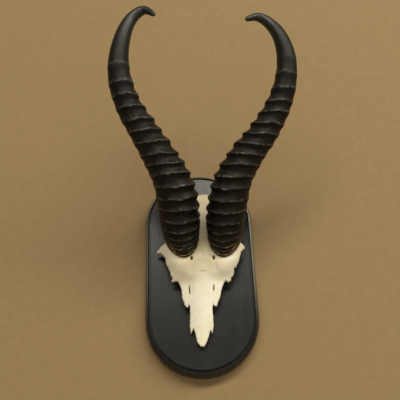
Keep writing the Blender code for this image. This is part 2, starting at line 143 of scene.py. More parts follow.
class Bench:
    """A node tree, and the one way in which nodes are added to it."""

    def __init__(self, tree):
        self.tree = tree

    def add(self, kind, settings=None, values=None, out=0):
        """A new node: its settings first, then its sockets. Gives back one of its outputs."""
        node = self.tree.nodes.new(kind)
        for name, setting in (settings or {}).items():
            setattr(node, name, setting)
        for key, value in (values or {}).items():
            self.put(self.pick(node.inputs, key), value)
        found = self.pick(node.outputs, out) if node.outputs else None
        return Wire(self, found) if found else node

    @staticmethod
    def pick(sockets, key):
        ready = [socket for socket in sockets if socket.enabled]
        return ready[key] if isinstance(key, int) else next(s for s in ready if s.name == key)

    def put(self, socket, value):
        if isinstance(value, Wire):
            self.tree.links.new(value.socket, socket)
        elif socket.type in ("VECTOR", "RGBA") and isinstance(value, (int, float)):
            socket.default_value = [value] * len(socket.default_value)
        elif socket.type == "RGBA":
            socket.default_value = (*value, 1.0)
        else:
            socket.default_value = value

    def number(self, operation, *terms):
        """One Math node."""
        return self.add("ShaderNodeMath", {"operation": operation}, dict(enumerate(terms)))

    def vector(self, operation, *terms, out=0):
        """One Vector Math node."""
        return self.add("ShaderNodeVectorMath", {"operation": operation}, dict(enumerate(terms)), out)

    def ease(self, low, high, value):
        """0 below low, 1 above high, and a smooth step between them."""
        limits = {"Value": value, "From Min": low, "From Max": high}
        return self.add("ShaderNodeMapRange", {"interpolation_type": "SMOOTHSTEP"}, limits)

    def noise(self, place, scale, detail=2.0, roughness=0.5, seed=0.0):
        """Cloudy noise from 0 to 1 about 0.5."""
        values = {"Vector": place, "W": seed, "Scale": scale, "Detail": detail, "Roughness": roughness}
        return self.add("ShaderNodeTexNoise", {"noise_dimensions": "4D"}, values)

    def blend(self, share, first, second):
        """A colour between two colours."""
        return self.add("ShaderNodeMix", {"data_type": "RGBA"}, {0: share, 1: first, 2: second})

    def parts(self, place):
        return [self.add("ShaderNodeSeparateXYZ", None, {0: place}, out=i) for i in range(3)]

    def joined(self, x, y, z):
        return self.add("ShaderNodeCombineXYZ", None, {0: x, 1: y, 2: z})


def new_finish(name):
    """A new material, its bench and its Principled node."""
    made = bpy.data.materials.new(name)
    made.use_nodes = True
    tree = made.node_tree
    return made, Bench(tree), tree.nodes["Principled BSDF"]


def give_finish(bench, shader, colour, roughness, height, bump_distance, bump_strength):
    """Links colour, roughness and bump to the material's shader."""
    bench.put(shader.inputs["Base Color"], colour)
    bench.put(shader.inputs["Roughness"], roughness)
    bump = {"Strength": bump_strength, "Distance": bump_distance, "Height": height}
    bench.put(shader.inputs["Normal"], bench.add("ShaderNodeBump", None, bump))


# %% [markdown]
# ## Black stained wood
# The board is wood under a black stain. Close up the stain lets the fine upright grain
# through as thin paler and darker streaks. The crown of the rounded border is painted pale
# on the board's upper part, partly as wear and partly as a painted highlight where light
# catches it. The grain could be an array of stretched lines, but noise that is squeezed
# across the board and drawn out along it has no pattern that repeats.
# %% Stained wood
BOARD_STRAIGHT_HALF = 63.1 * MM  # from the board's middle to where its round ends start
BORDER_RUBBED_AND_HIGHLIT = (64.2 * MM, 66.2 * MM)  # off the middle line: no pale paint, full wear and painted highlight
RUBBED_AND_HIGHLIT_UPWARDS = (-0.1, 0.02)  # the same for the height along the board
RUBBED_AND_HIGHLIT_OUTWARDS = (8.5 * MM, 12.0 * MM)  # and for the height above the wall


def stained_wood():
    made, bench, shader = new_finish("stained_wood")
    place = bench.add("ShaderNodeTexCoord", out="Object")
    drift = bench.noise(place, 9.0, 1.0) * 0.012
    drawn_out = place * (1.0, 1.0, 0.035) + bench.joined(drift, 0.0, 0.0)
    fibres = bench.noise(drawn_out, 900.0, 3.0, 0.6)
    streaks = bench.noise(drawn_out, 190.0, 2.0, 0.55, 3.0)
    pores = bench.noise(place * (1.0, 1.0, 0.09), 1500.0, 1.0, 0.5, 7.0)
    pits = bench.ease(0.62, 0.72, pores)
    across, depth, up = bench.parts(place)
    past_middle = bench.number("MAXIMUM", abs(up) - BOARD_STRAIGHT_HALF, 0.0)
    from_middle = (across * across + past_middle * past_middle) ** 0.5
    # Painted highlight and wear: the border's crown is painted pale, only on the board's upper part.
    rubbed_and_highlit = bench.ease(*BORDER_RUBBED_AND_HIGHLIT, from_middle) * bench.ease(*RUBBED_AND_HIGHLIT_UPWARDS, up)
    rubbed_and_highlit = rubbed_and_highlit * bench.ease(*RUBBED_AND_HIGHLIT_OUTWARDS, -depth)
    dust = bench.noise(place, 45.0, 3.0, 0.6, 1.0)
    tone = bench.ease(0.3, 0.72, streaks * 0.62 + fibres * 0.38)
    colour = bench.blend(tone, (0.0022, 0.0024, 0.0023), (0.0125, 0.0128, 0.0125))
    colour = bench.blend(bench.ease(0.5, 0.8, dust) * 0.3, colour, (0.024, 0.023, 0.02))
    colour = bench.blend(pits * 0.6, colour, (0.004, 0.004, 0.0045))
    # Pale paint on the border's crown: wear and a painted highlight.
    colour = bench.blend(rubbed_and_highlit * (0.5 + dust * 0.7), colour, (0.15, 0.14, 0.102))
    roughness = 0.29 + dust * 0.08 - tone * 0.08 + pits * 0.1
    height = fibres * 0.5 + streaks * 0.5 - pits * 0.6
    give_finish(bench, shader, colour, roughness, height, 0.0002, 0.5)
    shader.inputs["Specular IOR Level"].default_value = 0.36
    return made


wood = stained_wood()
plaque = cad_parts["plaque"]
plaque.data.materials.clear()
plaque.data.materials.append(wood)
print("the board keeps its solid, %d triangles" % len(plaque.data.polygons))

# %% [markdown]
# ## Screws
# Two countersunk wood screws come through the board from behind and hold the skull. They
# are turned steel with a thin zinc coat, so the solid's shape is enough, and the finish
# brings fine turning marks and dull blotches in the coat.
# %% Zinc


def zinc_coat():
    made, bench, shader = new_finish("zinc_coat")
    place = bench.add("ShaderNodeTexCoord", out="Object")
    blotches = bench.noise(place, 420.0, 4.0, 0.65)
    marks = bench.noise(place * (1.0, 9.0, 1.0), 900.0, 2.0, 0.5, 2.0)
    colour = bench.blend(bench.ease(0.35, 0.7, blotches), (0.44, 0.43, 0.4), (0.66, 0.66, 0.64))
    shader.inputs["Metallic"].default_value = 1.0
    roughness = 0.28 + blotches * 0.25 + marks * 0.08
    give_finish(bench, shader, colour, roughness, marks * 0.6 + blotches * 0.4, 0.00006, 0.6)
    return made


zinc = zinc_coat()
for name in ("skull_screw_upper", "skull_screw_lower"):
    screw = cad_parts[name]
    screw.data.materials.clear()
    screw.data.materials.append(zinc)
print("screws carry the zinc finish")

# %% [markdown]
# ## The way of a horn
# A springbok's horn rises from the forehead, leans out, and hooks in at its tip. Its middle
# line is a curve through points that were read from the photograph, each with the horn's
# width there. A free curve could be drawn by hand, but a Catmull-Rom curve goes exactly
# through its points, so the horn keeps the places of the solid one.
# %% Horn routes
HORN_ROUTES = {  # x, height above the wall, z and width, from the rim to the tip, in mm
    "horn_left": [
        (-20.8, 38.7, 27.8, 41.2), (-22.8, 57, 47, 47.8), (-24.4, 76, 69, 49), (-30.7, 91, 90, 45.2),
        (-44.5, 104.5, 114.5, 39.7), (-61.2, 118, 140.5, 35), (-77.6, 131, 167.4, 31),
        (-86.9, 143, 194.7, 28.7), (-88.6, 152, 223.8, 24.4), (-82.7, 157, 256.9, 19.3),
        (-72.4, 159.5, 279.8, 15), (-57.5, 163, 288.8, 11), (-42.5, 169.5, 274.1, 5.4),
    ],
    "horn_right": [
        (31.3, 38.5, 26.4, 40.6), (33.6, 57, 46.5, 46.2), (37.7, 74, 67, 47), (45.1, 88.5, 87, 43.7),
        (61.9, 102.5, 110.5, 39.2), (83.9, 116, 135.5, 34.1), (101.1, 128, 160.8, 30.2),
        (111.6, 139.5, 187.1, 26.7), (114.8, 148.5, 216.6, 23), (109.4, 153.5, 245.2, 18.2),
        (98.6, 155.5, 264.8, 14.2), (84.3, 158.5, 274.1, 10.6), (67.3, 164.5, 265.5, 5.4),
    ],
}
STEPS_PER_POINT = 32


def smooth_route(points):
    """Rows of x, y, z and width in metres along a Catmull-Rom curve, and their distances."""
    knots = np.array([(x, -height, z, width) for x, height, z, width in points]) * MM
    ends = np.vstack([2.0 * knots[0] - knots[1], knots, 2.0 * knots[-1] - knots[-2]])
    rows = [knots[0]]
    for a, b, c, d in zip(ends, ends[1:], ends[2:], ends[3:]):
        for part in np.linspace(0.0, 1.0, STEPS_PER_POINT + 1)[1:]:
            blend = 2.0 * b + (c - a) * part + (2.0 * a - 5.0 * b + 4.0 * c - d) * part**2
            rows.append(0.5 * (blend + (3.0 * b - a - 3.0 * c + d) * part**3))
    rows = np.array(rows)
    steps = np.linalg.norm(np.diff(rows[:, :3], axis=0), axis=1)
    return rows, np.concatenate([[0.0], np.cumsum(steps)])


routes = {name: smooth_route(points) for name, points in HORN_ROUTES.items()}
for name, (rows, distances) in routes.items():
    print("%s is %.0f mm long along its middle" % (name, distances[-1] / MM))

# %% [markdown]
# ## Where the rings sit
# Rings form as a horn grows. At the rim they are packed close, then they open out, and the
# last third towards the tip is smooth. The crests were read off the photograph, and the
# list turns any distance along the horn into a ring number with a fraction, such as 4.25:
# the fraction says where between two crests a point lies. These values ride on the
# route's own points.
# %% Ring numbers
RING_CRESTS = {  # distances of the crests from the rim, in mm
    "horn_left": [
        3.2, 6.2, 9.5, 13, 18.5, 24.8, 33.8, 45.8, 58.5, 72.5,
        86.5, 99.5, 113, 129.5, 145.5, 161, 178, 194, 210, 232.5,
    ],
    "horn_right": [
        3.2, 6.5, 11, 16.5, 23, 30.8, 41.5, 55, 69.2, 83,
        97.5, 111.5, 126.5, 141, 155.5, 171, 185.5, 202.5, 220.5, 240,
    ],
}
RING_RELIEF = 3.1 * MM
RIM_RELIEF = 1.0 * MM
RELIEF_START, RELIEF_REACH = 4.0 * MM, 34.0 * MM  # the rings grow from the rim's relief here
FADE_START, FADE_END = 0.43, 0.73  # shares of the length between which they sink again
FADE_SHARE = 0.84
LAST_RING_FALL = (6.0 * MM, 1.0 * MM)  # past the last crest: no relief, all of it
RIM_REACH = 45.0 * MM
FOOT_PINCH = 0.16


def ease(low, high, value):
    part = np.clip((value - low) / (high - low), 0.0, 1.0)
    return part * part * (3.0 - 2.0 * part)


def store_numbers(mesh, label, values):
    """Writes one number for each point onto a mesh."""
    field = mesh.attributes.new(label, "FLOAT", "POINT")
    field.data.foreach_set("value", np.asarray(values, np.float32))


def route_mesh(name):
    """The route as a string of edges whose points carry the horn's width and rings."""
    rows, distances = routes[name]
    length = distances[-1]
    crests = np.array([-1.5] + RING_CRESTS[name]) * MM
    numbers = np.interp(distances, crests, np.arange(len(crests)))
    relief = RIM_RELIEF + (RING_RELIEF - RIM_RELIEF) * ease(RELIEF_START, RELIEF_REACH, distances)
    relief = relief * (1.0 - FADE_SHARE * ease(FADE_START * length, FADE_END * length, distances))
    smooth_from, ringed_to = (crests[-1] + step for step in LAST_RING_FALL)
    relief = relief * ease(smooth_from, ringed_to, distances)
    mesh = bpy.data.meshes.new(name + "_route")
    links = [(i, i + 1) for i in range(len(rows) - 1)]
    mesh.from_pydata([tuple(row[:3]) for row in rows], links, [])
    store_numbers(mesh, "width", rows[:, 3])
    store_numbers(mesh, "ring", numbers)
    store_numbers(mesh, "relief", relief)
    print("%s has %d rings" % (name, len(crests) - 1))
    return mesh


# %% [markdown]
# ## Horn
# The keratin of a horn is nearly black, paler and glossier on the worn crests of its rings,
# where the pale colour is also a painted highlight, and painted darkest just under them as
# shade. Fine lines run along it. At the rim the layers end one after another, as pages do,
# and show pale brown edges. The tip is rubbed smooth and shines.
# The pattern has to follow the bent horn, so it reads a place that is stored on the
# surface: the direction round the horn and the distance along it.
# %% Horn finish
SMOOTH_TIP = (0.2, 0.26)  # distances from the rim in metres: still rough, smooth
POLISHED_TIP = (0.252, 0.312)
RIM_BAND = (0.006, 0.016)  # the layers' pale edges show up to here
RIM_BAND_WANDER = 0.008


def horn_keratin():
    made, bench, shader = new_finish("horn_keratin")
    place = bench.add("ShaderNodeAttribute", {"attribute_name": "sheath"}, out="Vector")
    crest = bench.add("ShaderNodeAttribute", {"attribute_name": "crest"}, out="Fac")
    under = bench.add("ShaderNodeAttribute", {"attribute_name": "under"}, out="Fac")
    east, north, far = bench.parts(place)
    lines = bench.noise(bench.joined(east * 26.0, north * 26.0, far * 30.0), 1.0, 3.0, 0.6)
    fine = bench.noise(bench.joined(east * 70.0, north * 70.0, far * 90.0), 1.0, 2.0, 0.55, 4.0)
    patches = bench.noise(bench.joined(east, north, far * 28.0), 1.7, 4.0, 0.6, 2.0)
    scuffs = bench.noise(bench.joined(east * 6.0, north * 6.0, far * 330.0), 1.0, 3.0, 0.65, 5.0)
    layers = bench.noise(bench.joined(east * 2.2, north * 2.2, far * 900.0), 1.0, 2.0, 0.6, 6.0)
    growth = bench.noise(bench.joined(east * 1.6, north * 1.6, far * 620.0), 1.0, 2.0, 0.55, 9.0)
    smooth_tip = bench.ease(*SMOOTH_TIP, far)
    rim = 1.0 - bench.ease(*RIM_BAND, far + (patches - 0.5) * RIM_BAND_WANDER)
    black, brown = (0.0035, 0.0031, 0.002), (0.0105, 0.0084, 0.005)
    colour = bench.blend(bench.ease(0.35, 0.75, patches), black, brown)
    colour = bench.blend(bench.ease(0.5, 0.75, lines) * 0.5, colour, (0.02, 0.015, 0.0085))
    # Pale worn crests: partly wear and partly a painted highlight along each crest.
    colour = bench.blend(crest * bench.ease(0.42, 0.68, scuffs), colour, (0.15, 0.14, 0.115))
    speckles = bench.ease(0.66, 0.74, scuffs) * (1.0 - smooth_tip) * 0.6
    colour = bench.blend(speckles, colour, (0.17, 0.125, 0.065))
    # Painted shade: the band just under each crest is painted nearly black.
    colour = bench.blend(under * 0.9, colour, (0.0015, 0.0012, 0.0008))
    colour = bench.blend(smooth_tip * 0.6, colour, (0.014, 0.0135, 0.0105))
    edges = bench.ease(0.48, 0.62, layers * 0.85 + crest * 0.2)
    colour = bench.blend(rim * edges, colour, (0.45, 0.29, 0.11))
    roughness = 0.4 + patches * 0.12 - crest * 0.08 - smooth_tip * 0.03 + rim * 0.12 + under * 0.2
    grain = lines * 0.5 + fine * 0.2 + growth * 0.35 + scuffs * 0.2
    height = grain * (1.0 - smooth_tip * 0.8) + rim * layers * 0.8
    give_finish(bench, shader, colour, roughness, height, 0.0009, 0.8)
    shader.inputs["Specular IOR Level"].default_value = 0.16
    bench.put(shader.inputs["Coat Weight"], bench.ease(*POLISHED_TIP, far) * 0.65 + crest * 0.35)
    shader.inputs["Coat Roughness"].default_value = 0.4
    return made


keratin = horn_keratin()

# %% [markdown]
# ## Growing the horns with nodes
# The horn follows a rule, so Geometry Nodes make it: a flat grid whose one side counts
# round the horn and whose other side runs along it is bent onto the route. Every point
# asks the route for its middle, direction, width and ring number. Rings stand nearly level
# even where the horn leans out, so each loop slides along the horn into the ring's plane.
# One ring is a narrow rounded ridge, and the horn is hollowed gently between two of them.
# %% Horn tree
HORN_INPUTS = [
    ("Rows", "NodeSocketInt", 640), ("Sides", "NodeSocketInt", 126), ("Side", "NodeSocketFloat", 1.0),
    ("Depth ratio", "NodeSocketFloat", 1.12), ("Rim lean", "NodeSocketFloat", math.radians(18.0)),
    ("Rim reach", "NodeSocketFloat", RIM_REACH), ("Slant", "NodeSocketFloat", 0.85),
    ("Bold side", "NodeSocketFloat", math.radians(150.0)), ("Fade", "NodeSocketFloat", 0.36),
    ("Sharpness", "NodeSocketFloat", 0.75), ("Foot pinch", "NodeSocketFloat", FOOT_PINCH),
    ("Wobble", "NodeSocketFloat", 0.35), ("Jog", "NodeSocketFloat", 0.22),
    ("Seed", "NodeSocketFloat", 0.0), ("Finish", "NodeSocketMaterial", None),
]
FULL_TURN = 2.0 * math.pi
TOWARDS_WALL = (0.0, 1.0, 0.0)
RIDGE_LEVEL = 0.4  # the horn's width is met at this share of a ridge's height
LUMP_SHARE = 0.014  # of the horn's width
TIP_ROUNDING = (0.985, 1.004)  # shares of the length over which the tip closes
FOOT_PINCH_REACH = 38.0 * MM
LOW_RELIEF, FULL_RELIEF = 0.4 * MM, 1.0 * MM  # rings lower than this have no marks
MERGE_DISTANCE = 0.003 * MM


def new_tree(name, inputs):
    """An empty Geometry Nodes tree with named inputs, and its bench and inputs."""
    tree = bpy.data.node_groups.new(name, "GeometryNodeTree")
    tree.interface.new_socket(name="Shape", in_out="OUTPUT", socket_type="NodeSocketGeometry")
    tree.interface.new_socket(name="Path", in_out="INPUT", socket_type="NodeSocketGeometry")
    for label, kind, start in inputs:
        socket = tree.interface.new_socket(name=label, in_out="INPUT", socket_type=kind)
        if start is not None:
            socket.default_value = start
    bench = Bench(tree)
    group_in = tree.nodes.new("NodeGroupInput")
    return bench, {socket.name: Wire(bench, socket) for socket in group_in.outputs if socket.name}


def horn_tree():
    bench, given = new_tree("ringed_horn", HORN_INPUTS)
    rows, seed = given["Rows"], given["Seed"]
    grid_sizes = {"Size X": 1.0, "Size Y": 1.0, "Vertices X": given["Sides"] + 1.0, "Vertices Y": rows}
    grid = bench.add("GeometryNodeMeshGrid", None, grid_sizes)
    curve = bench.add("GeometryNodeMeshToCurve", None, {0: given["Path"]})
    length = bench.add("GeometryNodeCurveLength", None, {0: curve})
    across, along_grid, _ = bench.parts(bench.add("GeometryNodeInputPosition"))
    # The grid's first row is the middle of the closed foot, and the second is the rim
    row = (along_grid + 0.5) * (rows - 1.0)
    distance = length * bench.number("MAXIMUM", row - 1.0, 0.0) / (rows - 2.0)
    angle = (across + 0.5) * FULL_TURN
    east = bench.number("COSINE", angle)
    north = bench.number("SINE", angle)

    def read(label):
        field = bench.add("GeometryNodeInputNamedAttribute", {"data_type": "FLOAT"}, {"Name": label})
        sample = {"Curves": curve, "Value": field, "Length": distance}
        return bench.add("GeometryNodeSampleCurve", {"mode": "LENGTH", "data_type": "FLOAT"}, sample)

    width, number, relief = read("width"), read("ring"), read("relief")
    sample = {"Curves": curve, "Length": distance}
    middle = bench.add("GeometryNodeSampleCurve", {"mode": "LENGTH"}, sample, out="Position")
    along = bench.add("GeometryNodeSampleCurve", {"mode": "LENGTH"}, sample, out="Tangent")
    outer = bench.vector("NORMALIZE", bench.vector("CROSS_PRODUCT", along, TOWARDS_WALL)) * -given["Side"]
    front = bench.vector("CROSS_PRODUCT", along, outer) * -given["Side"]
    # The plane that the ring lies in: the rim's own plane first, then nearly level
    run = distance / length
    slant = given["Slant"] * (1.0 - bench.ease(0.5, 0.8, run))
    along_x, along_y, along_z = bench.parts(along)
    level = bench.vector("NORMALIZE", bench.joined(along_x * (1.0 - slant), along_y, along_z))
    lean = given["Rim lean"]
    rim = bench.joined(0.0, -bench.number("COSINE", lean), bench.number("SINE", lean))
    share = bench.ease(0.0, given["Rim reach"], distance)
    plane = bench.vector("NORMALIZE", rim * (1.0 - share) + level * share)

    def unevenness(round_scale, long_scale, scale, detail):
        """Noise about 0 whose pattern closes round the horn."""
        spot = bench.joined(east * round_scale, north * round_scale, distance * long_scale)
        return bench.noise(spot, scale, detail, 0.5, seed) - 0.5

    # The place in the ring, with a wander and small jogs so that no ring runs quite straight
    wander = unevenness(1.0, 45.0, 1.1, 1.0)
    lumps = unevenness(3.0, 120.0, 1.0, 2.0)
    jogs = unevenness(2.6, 60.0, 1.6, 1.0) * (1.0 - 0.6 * bench.ease(0.12, 0.2, distance))
    shift = wander * given["Wobble"] + jogs * given["Jog"]
    number = number + shift * bench.ease(0.0, 0.02, distance)
    part = bench.number("FRACT", number)
    # A soft wave and a sharp arch are mixed: round hollows that meet in a narrow crest
    wave = bench.number("COSINE", part * FULL_TURN) * 0.5 + 0.5
    arch = 1.0 - bench.number("SINE", part * math.pi)
    sharp = given["Sharpness"] * (0.4 + 0.6 * bench.ease(-0.3, 0.9, north))
    ridge = wave * (1.0 - sharp) + arch * sharp
    turn_away = bench.number("COSINE", angle - given["Bold side"])
    strength = 1.0 - given["Fade"] * (1.0 - turn_away) + lumps * 0.6
    rounded = 1.0 - bench.ease(*TIP_ROUNDING, run) ** 2.0
    radius = width * 0.5 + relief * strength * (ridge - RIDGE_LEVEL) + lumps * width * LUMP_SHARE
    radius = radius * rounded * (row > 0.5)
    depth = 1.0 + (given["Depth ratio"] - 1.0) * (1.0 - run)
    # The front of the foot is drawn in to a blunt point, as the bone under it is
    at_foot = 1.0 - bench.ease(0.0, FOOT_PINCH_REACH, distance)
    pinch = 1.0 - given["Foot pinch"] * bench.ease(-0.2, 1.0, north) * at_foot
    reach = outer * (radius * pinch * east) + front * (radius * depth * north)
    # Each point slides along the horn until it lies in its ring's plane
    off_plane = bench.vector("DOT_PRODUCT", reach, plane, out="Value")
    slide = -off_plane / bench.vector("DOT_PRODUCT", along, plane, out="Value")
    place = middle + reach + along * slide

    marked = bench.ease(LOW_RELIEF, FULL_RELIEF, relief)
    # The crest mask gives the crests their gloss and their pale colour, which is partly a painted
    # highlight
    crest = ridge ** 5.0 * marked
    # The band just under each crest, which the finish paints dark as shade
    under = bench.ease(0.55, 0.88, part) * (1.0 - bench.ease(0.93, 1.0, part)) * marked
    sheath = bench.joined(east, north, distance)
    shape = grid
    for label, value in (("sheath", sheath), ("crest", crest), ("under", under)):
        store = {"data_type": "FLOAT_VECTOR" if is_vector(value) else "FLOAT", "domain": "POINT"}
        stored = {"Geometry": shape, "Name": label, "Value": value}
        shape = bench.add("GeometryNodeStoreNamedAttribute", store, stored)
    shape = bench.add("GeometryNodeSetPosition", None, {"Geometry": shape, "Position": place})
    merge = {"Geometry": shape, "Distance": MERGE_DISTANCE}
    shape = bench.add("GeometryNodeMergeByDistance", None, merge)
    shape = bench.add("GeometryNodeSetShadeSmooth", None, {"Geometry": shape})
    shape = bench.add("GeometryNodeRealizeInstances", None, {"Geometry": shape})
    shape = bench.add("GeometryNodeSetMaterial", None, {"Geometry": shape, "Material": given["Finish"]})
    bench.add("NodeGroupOutput", None, {"Shape": shape})
    return bench.tree


ringed_horn = horn_tree()
print("the horn tree has %d nodes" % len(ringed_horn.nodes))

# %% [markdown]
# A tree's result lives only as long as its modifier. The evaluated shape is copied into a
# plain mesh, the modifier and its helper are removed, and the normals are made to point
# out, because the bent grid of one horn is the mirror image of the other.
# %% Two horns


def plain_piece(name, path_mesh, tree, inputs):
    """Runs a tree on a path and gives back its result as a plain piece."""
    helper = bpy.data.objects.new(name + "_path", path_mesh)
    scene.collection.objects.link(helper)
    modifier = helper.modifiers.new("nodes", "NODES")
    modifier.node_group = tree
    for item in tree.interface.items_tree:
        if item.in_out == "INPUT" and item.name in inputs:
            modifier[item.identifier] = inputs[item.name]
    graph = bpy.context.evaluated_depsgraph_get()
    mesh = bpy.data.meshes.new_from_object(helper.evaluated_get(graph))
    bpy.data.objects.remove(helper)
    return add_piece(name, mesh)


def add_piece(name, mesh):
    work = bmesh.new()
    work.from_mesh(mesh)
    bmesh.ops.recalc_face_normals(work, faces=work.faces)
    if work.calc_volume(signed=True) < 0.0:
        bmesh.ops.reverse_faces(work, faces=work.faces)
    open_edges = sum(1 for edge in work.edges if len(edge.link_faces) != 2)
    work.to_mesh(mesh)
    work.free()
    mesh.name = name
    piece = bpy.data.objects.new(name, mesh)
    scene.collection.objects.link(piece)
    triangles = sum(len(face.vertices) - 2 for face in mesh.polygons)
    print("%s: %d triangles, %d open edges" % (name, triangles, open_edges))
    return piece


HORN_SEEDS = {"horn_left": 1.7, "horn_right": 5.2}
for node_name, points in HORN_ROUTES.items():
    side = math.copysign(1.0, points[0][0])
    choices = {"Side": side, "Seed": HORN_SEEDS[node_name], "Finish": keratin}
    horn = plain_piece("ringed_" + node_name, route_mesh(node_name), ringed_horn, choices)
    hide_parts(node_name)
    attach(horn, "root")

# %% [markdown]
# ## Bone
# Cleaned bone is cream and chalky. Up the brow and crown, and most in the middle between the
# horns, it is painted yellower and darker, partly for grease and partly as the horns' shade.
# It is brown along its seams and crease, and painted dark in its nerve pits as shade. Fine
# pores and short hairlines cover it. One even colour would look like plastic, so the finish
# is mixed from soft patches and a bump of three grain sizes.
# %% Bone finish
GREASY_AND_SHADED_UP = (-0.035, -0.004)  # z, in metres: clean nose; brow and crown greasy and painted with the horns' shade
GREASY_AND_SHADED_SIDES = (0.014, 0.04)  # off the middle: full, half as much grease and painted shade


def bleached_bone():
    made, bench, shader = new_finish("bleached_bone")
    place = bench.add("ShaderNodeTexCoord", out="Object")
    hollow = bench.add("ShaderNodeAttribute", {"attribute_name": "hollow"}, out="Fac")
    patches = bench.noise(place, 28.0, 4.0, 0.6)
    mottle = bench.noise(place, 160.0, 4.0, 0.6, 3.0)
    pores = bench.noise(place, 1300.0, 2.0, 0.6, 5.0)
    hairs = bench.noise(place * (1.0, 1.0, 0.16), 700.0, 2.0, 0.55, 8.0)
    across, _, up = bench.parts(place)
    # Painted shade: brow, crown and the middle between the horns turn yellower and darker, for grease and
    # for the horns' shadow there.
    height = up + (patches - 0.5) * 0.015
    grease_and_shade = bench.ease(*GREASY_AND_SHADED_UP, height) * (1.0 - 0.5 * bench.ease(*GREASY_AND_SHADED_SIDES, abs(across)))
    cloud = bench.ease(0.3, 0.7, patches)
    clean = bench.blend(cloud, (0.89, 0.865, 0.755), (0.85, 0.795, 0.625))
    greasy_and_shaded = bench.blend(cloud, (0.63, 0.55, 0.37), (0.565, 0.475, 0.29))
    colour = bench.blend(grease_and_shade, clean, greasy_and_shaded)
    colour = bench.blend(bench.ease(0.42, 0.72, mottle) * 0.45, colour, (0.72, 0.67, 0.5))
    # Seams and the crease are darkened; the nerve pits are painted dark as shade.
    colour = bench.blend(hollow, colour, (0.1, 0.07, 0.03))
    colour = bench.blend(bench.ease(0.62, 0.72, pores) * 0.35, colour, (0.46, 0.38, 0.24))
    roughness = 0.5 + mottle * 0.2
    grain = mottle * 0.5 + pores * 0.3 + hairs * 0.3
    give_finish(bench, shader, colour, roughness, grain, 0.0004, 0.6)
    return made


bone = bleached_bone()

# %% [markdown]
# ## The broken edge of the skull cap
# The skull was sawn and broken, so its edge is ragged. The solid's edge has one point
# every few millimetres. Here every stretch is cut into short steps, and each is moved in
# or out by a little fixed noise, which gives the fine teeth of broken bone.
# %% Skull outline
SKULL_LEFT_EDGE = [  # x and z in mm, from the nose's tip round by the left to the top
    (-3.3, -99), (-7.3, -93.6), (-8.2, -86.7), (-10.7, -78), (-13.8, -84.1), (-15, -75.9), (-14.2, -64),
    (-13.9, -52.8), (-15.2, -49.8), (-16.6, -53.7), (-19.6, -51.7), (-23, -42), (-23.7, -31.2),
    (-25.7, -25.5), (-27.5, -21.7), (-31.8, -21.1), (-34.1, -21.8), (-35.8, -20.1), (-33.4, -17.9),
    (-36, -14.4), (-36.3, -10.5), (-38.6, -5.8), (-41.3, -0.2), (-42.5, 7.8), (-45, 12.3), (-48.8, 16.9),
    (-52, 17.3), (-53.6, 19.4), (-47.5, 24.5), (-42.5, 26.5), (-41.5, 33), (-39, 41), (-34.5, 48),
    (-29, 55), (-26.5, 64), (-24.5, 74), (-20, 84), (-12, 93), (-2, 99),
]
SKULL_RIGHT_EDGE = [
    (9, 101), (19, 98), (29, 91), (36, 81), (38.5, 71), (38, 62), (39, 54), (43, 47), (47.5, 40), (50, 31),
    (50.4, 23.6), (54.9, 20.4), (56, 17.4), (51.1, 11.6), (49.2, 6.2), (47.1, -1.3), (43.1, -8.4),
    (40.6, -9.8), (40.7, -14.3), (38.9, -18), (36.2, -20.5), (36.9, -22.6), (33.3, -24.9), (29.9, -23.3),
    (28.2, -25.3),
    (25.5, -30.8), (21.9, -43.8), (17.5, -53.9), (15.5, -53.3), (13.7, -50.5), (12.6, -56.3), (13, -66),
    (13.1, -75.9), (11.6, -84.8), (9.3, -81.1), (6, -90.3), (3.6, -95.9), (0.8, -99.8),
]
NASAL_GAPS = [
    [(-14.9, -28.3), (-13.5, -28.3), (-12.9, -38.6), (-14.3, -39)],
    [(14.6, -28.5), (16.4, -28.5), (15.6, -36), (14.4, -36)],
]
EDGE_STEP = 0.9
EDGE_RAGGED, GAP_RAGGED = 0.22, 0.1
CORNER_SHARE = 0.4  # a corner of the outline moves by less than the rest
random_steps = np.random.default_rng(11)


def ragged(outline, amount):
    """The outline in short steps, each moved in or out by up to the amount."""
    points = []
    for start, end in zip(outline, np.roll(outline, -1, axis=0)):
        run = end - start
        count = max(int(np.linalg.norm(run) / EDGE_STEP), 1)
        across = np.array((run[1], -run[0])) / max(np.linalg.norm(run), 1e-6)
        for step in range(count):
            share = CORNER_SHARE if step == 0 else 1.0
            moved = start + run * step / count
            points.append(moved + across * random_steps.uniform(-amount, amount) * share)
    return np.array(points)


skull_edge = ragged(np.array(SKULL_LEFT_EDGE + SKULL_RIGHT_EDGE, float), EDGE_RAGGED)
gap_edges = [ragged(np.array(gap, float), GAP_RAGGED) for gap in NASAL_GAPS]
print("the skull's edge has %d points" % len(skull_edge))

# %% [markdown]
# ## Heights of the skull
# A skull cap lying on a board is nearly a map: each place has one height in front and one
# behind. Sculpting by hand would do, but heights as sums can be checked against the solid
# and repeated. The big form is the same rule as the solid's, and small forms are added:
# seams between bones, shallow hollows under the brows, the pits for nerves with their
# channels, and the boss between the brows. All lengths in this step are in mm.
# %% Tables of the skull
MIDDLE_HEIGHT = [
    (-101, 25), (-84, 28), (-60, 33), (-20, 41.5), (2, 46.5), (12, 44.5), (28, 40), (50, 35), (75, 30.5),
    (90, 27), (98, 23.5), (102, 20.5),
]
SEAT_HALF_WIDTH = [
    (-56, 6), (-48, 12), (-30, 18), (-12, 18), (12, 17), (28, 25), (45, 30), (72, 29), (90, 19), (99, 8),
]
AXIS_X, AXIS_LEAN = 3.6, 0.05
EDGE_THICKNESS, FOREHEAD_THICKNESS = 2.2, 4.5
FOOT_STRETCH, FOOT_STEP = 1.2, 1.2
FOOT_INSIDE, UNDER_SHEATH = 0.98, 0.35  # inside the foot the bone rises to just under the sheath
RIM_LEAN = math.radians(18.0)
